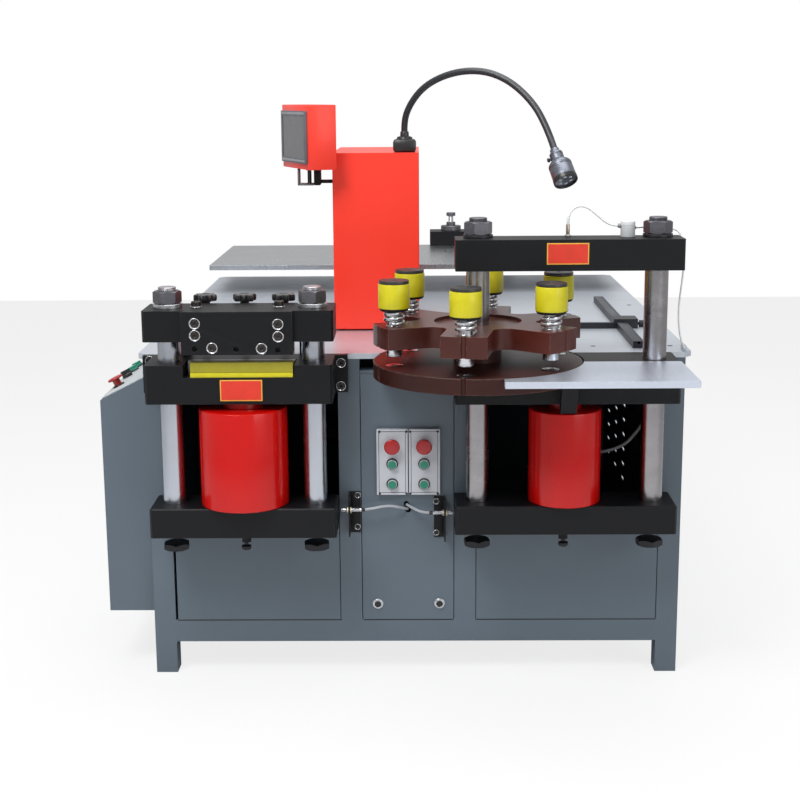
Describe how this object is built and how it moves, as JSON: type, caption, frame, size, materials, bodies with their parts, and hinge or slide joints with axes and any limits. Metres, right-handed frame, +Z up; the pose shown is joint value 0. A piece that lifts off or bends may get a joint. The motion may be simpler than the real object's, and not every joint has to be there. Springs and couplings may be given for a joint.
{
  "type": "busbar processing machine",
  "caption": "Free-standing busbar processing machine: steel cabinet and table with a shear press, a turret punch press, a rear bending station, upright, display and work lamp.",
  "frame": {"origin": "centre of the outer box on the floor", "axes": "+X to the right along the cabinet's front, +Y to the back, +Z up"},
  "size_m": [1.631, 2.444, 1.6877],
  "materials": {
    "cabinet_paint": "textured blue-grey paint",
    "red_paint": "orange-red enamel",
    "cylinder_red": "deep red gloss enamel",
    "black_paint": "black satin paint",
    "steel": "ground steel",
    "chrome": "hard chrome",
    "blued_steel": "dark oiled steel",
    "aluminium": "milled aluminium",
    "urethane": "yellow urethane",
    "black_plastic": "black plastic",
    "grey_plastic": "grey plastic",
    "red_plastic": "red plastic",
    "green_plastic": "green plastic",
    "white_plastic": "white plastic"
  },
  "bodies": {
    "frame": {"cabinet_frame": "cabinet_paint", "table_plate": "steel", "left_side_panel": "cabinet_paint", "right_side_panel": "cabinet_paint", "rear_panel": "cabinet_paint", "front_panels": "cabinet_paint", "hydraulic_unit": "black_paint", "console_box": "cabinet_paint", "button_stations": "white_plastic", "proximity_sensors": "black_paint", "sensor_cables": "grey_plastic", "press_rams": "cylinder_red", "shear_die_block": "black_paint", "shear_lower_blade": "steel", "shear_pad": "urethane", "clamp_bar": "black_paint", "punch_die_beam": "black_paint", "support_plate": "aluminium", "upright_box": "red_paint", "display_bracket": "black_paint", "lamp": "black_paint", "gauge_rail": "aluminium", "rear_plate": "steel", "bend_block": "black_paint"},
    "shear_press": {"shear_base_plate": "black_paint", "shear_cylinder": "cylinder_red", "shear_columns": "chrome", "shear_top_beam": "black_paint", "shear_blade_holder": "black_paint", "shear_upper_blade": "steel"},
    "punch_press": {"punch_base_plate": "black_paint", "punch_cylinder": "cylinder_red", "punch_columns": "chrome", "punch_top_beam": "black_paint", "beam_sensor": "white_plastic", "beam_cable": "white_plastic"},
    "turret": {"turret_star": "blued_steel", "turret_disc": "blued_steel", "punch_springs": "steel"},
    "punch_1": {"punch_1": "urethane"},
    "punch_2": {"punch_2": "urethane"},
    "punch_3": {"punch_3": "urethane"},
    "punch_4": {"punch_4": "urethane"},
    "punch_5": {"punch_5": "urethane"},
    "punch_6": {"punch_6": "urethane"},
    "star_knob_1": {"star_knob_1": "black_plastic"},
    "star_knob_2": {"star_knob_2": "black_plastic"},
    "star_knob_3": {"star_knob_3": "black_plastic"},
    "console_stop": {"console_stop": "red_plastic"},
    "console_selector": {"console_selector": "black_plastic"},
    "gauge_slider": {"gauge_slider": "aluminium"},
    "display_box": {"display_box": "red_paint"},
    "bend_ram": {"bend_ram": "blued_steel"},
    "bend_screw": {"bend_screw": "steel"},
    "stop_button_left": {"stop_button_left": "red_plastic"},
    "start_button_left": {"start_button_left": "green_plastic"},
    "return_button_left": {"return_button_left": "green_plastic"},
    "stop_button_right": {"stop_button_right": "red_plastic"},
    "start_button_right": {"start_button_right": "green_plastic"},
    "return_button_right": {"return_button_right": "green_plastic"}
  },
  "joints": [
    {"name": "shear_stroke", "type": "slide", "parent": "frame", "child": "shear_press", "axis": [0, 0, -1], "range_m": [0, 0.02]},
    {"name": "punch_stroke", "type": "slide", "parent": "frame", "child": "punch_press", "axis": [0, 0, -1], "range_m": [0, 0.045], "deforming": ["beam_cable"]},
    {"name": "turret_turn", "type": "hinge", "parent": "frame", "child": "turret", "pos_m": [0.2265, -0.905, 0.923], "axis": [0, 0, 1], "continuous": true},
    {"name": "punch_1_slide", "type": "slide", "parent": "turret", "child": "punch_1", "axis": [0, 0, -1], "range_m": [0, 0.02], "stiffness_N_per_m": 9000, "springref_m": -0.012, "deforming": ["punch_springs"]},
    {"name": "punch_2_slide", "type": "slide", "parent": "turret", "child": "punch_2", "axis": [0, 0, -1], "range_m": [0, 0.02], "stiffness_N_per_m": 9000, "springref_m": -0.012, "deforming": ["punch_springs"]},
    {"name": "punch_3_slide", "type": "slide", "parent": "turret", "child": "punch_3", "axis": [0, 0, -1], "range_m": [0, 0.02], "stiffness_N_per_m": 9000, "springref_m": -0.012, "deforming": ["punch_springs"]},
    {"name": "punch_4_slide", "type": "slide", "parent": "turret", "child": "punch_4", "axis": [0, 0, -1], "range_m": [0, 0.02], "stiffness_N_per_m": 9000, "springref_m": -0.012, "deforming": ["punch_springs"]},
    {"name": "punch_5_slide", "type": "slide", "parent": "turret", "child": "punch_5", "axis": [0, 0, -1], "range_m": [0, 0.02], "stiffness_N_per_m": 9000, "springref_m": -0.012, "deforming": ["punch_springs"]},
    {"name": "punch_6_slide", "type": "slide", "parent": "turret", "child": "punch_6", "axis": [0, 0, -1], "range_m": [0, 0.02], "stiffness_N_per_m": 9000, "springref_m": -0.012, "deforming": ["punch_springs"]},
    {"name": "star_knob_1_turn", "type": "hinge", "parent": "frame", "child": "star_knob_1", "pos_m": [-0.5095, -0.7965, 1.062], "axis": [0, 0, 1], "continuous": true},
    {"name": "star_knob_2_turn", "type": "hinge", "parent": "frame", "child": "star_knob_2", "pos_m": [-0.4025, -0.7965, 1.062], "axis": [0, 0, 1], "continuous": true},
    {"name": "star_knob_3_turn", "type": "hinge", "parent": "frame", "child": "star_knob_3", "pos_m": [-0.2955, -0.7965, 1.062], "axis": [0, 0, 1], "continuous": true},
    {"name": "stop_button_left_press", "type": "slide", "parent": "frame", "child": "stop_button_left", "axis": [0, 1, 0], "range_m": [0, 0.004], "stiffness_N_per_m": 500, "springref_m": -0.004},
    {"name": "start_button_left_press", "type": "slide", "parent": "frame", "child": "start_button_left", "axis": [0, 1, 0], "range_m": [0, 0.004], "stiffness_N_per_m": 500, "springref_m": -0.004},
    {"name": "return_button_left_press", "type": "slide", "parent": "frame", "child": "return_button_left", "axis": [0, 1, 0], "range_m": [0, 0.004], "stiffness_N_per_m": 500, "springref_m": -0.004},
    {"name": "stop_button_right_press", "type": "slide", "parent": "frame", "child": "stop_button_right", "axis": [0, 1, 0], "range_m": [0, 0.004], "stiffness_N_per_m": 500, "springref_m": -0.004},
    {"name": "start_button_right_press", "type": "slide", "parent": "frame", "child": "start_button_right", "axis": [0, 1, 0], "range_m": [0, 0.004], "stiffness_N_per_m": 500, "springref_m": -0.004},
    {"name": "return_button_right_press", "type": "slide", "parent": "frame", "child": "return_button_right", "axis": [0, 1, 0], "range_m": [0, 0.004], "stiffness_N_per_m": 500, "springref_m": -0.004},
    {"name": "console_stop_press", "type": "slide", "parent": "frame", "child": "console_stop", "axis": [0.4499, 0, -0.8931], "range_m": [0, 0.004], "stiffness_N_per_m": 500, "springref_m": -0.004},
    {"name": "console_selector_turn", "type": "hinge", "parent": "frame", "child": "console_selector", "pos_m": [-0.78227, -0.53, 0.8081], "axis": [-0.4499, 0, 0.8931], "range_deg": [-45, 45]},
    {"name": "gauge_travel", "type": "slide", "parent": "frame", "child": "gauge_slider", "axis": [0, 1, 0], "range_m": [-0.33, 0.48]},
    {"name": "display_swivel", "type": "hinge", "parent": "frame", "child": "display_box", "pos_m": [-0.2505, -0.365, 1.403], "axis": [0, 0, 1], "range_deg": [-28, 0]},
    {"name": "bend_stroke", "type": "slide", "parent": "frame", "child": "bend_ram", "axis": [-1, 0, 0], "range_m": [0, 0.08]},
    {"name": "bend_screw_turn", "type": "hinge", "parent": "frame", "child": "bend_screw", "pos_m": [0.2035, 1.1655, 1.005], "axis": [0, 0, 1], "continuous": true}
  ]
}
